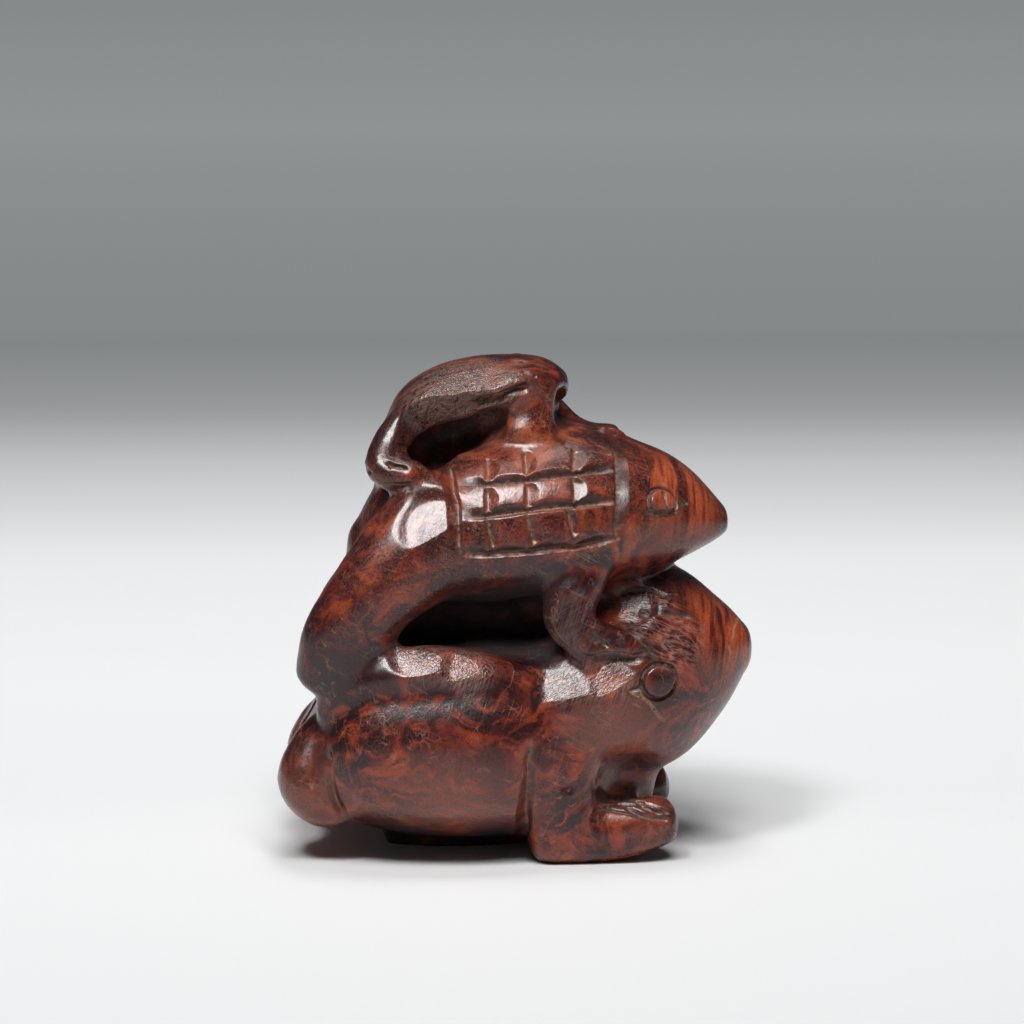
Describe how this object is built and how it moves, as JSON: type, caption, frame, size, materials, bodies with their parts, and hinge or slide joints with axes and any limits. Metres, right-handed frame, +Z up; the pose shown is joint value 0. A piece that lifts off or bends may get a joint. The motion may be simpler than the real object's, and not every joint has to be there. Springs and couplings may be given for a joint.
{
  "type": "okimono",
  "caption": "Small carved burr-wood okimono of frogs riding on one another's backs, a polished pocket-sized ornament that stands on its own soles and belly.",
  "frame": {"origin": "on the standing plane, under the middle of the object's box", "axes": "+X the way the frogs face, +Z up; -Y is the side that the picture shows"},
  "size_m": [0.0476, 0.0304, 0.0495],
  "materials": {
    "burr_wood": "polished red-brown burr wood with dark and orange-red figure, fine scratches, and pale dust in the cuts"
  },
  "bodies": {
    "root": {"three_frogs": "burr_wood"}
  },
  "joints": []
}
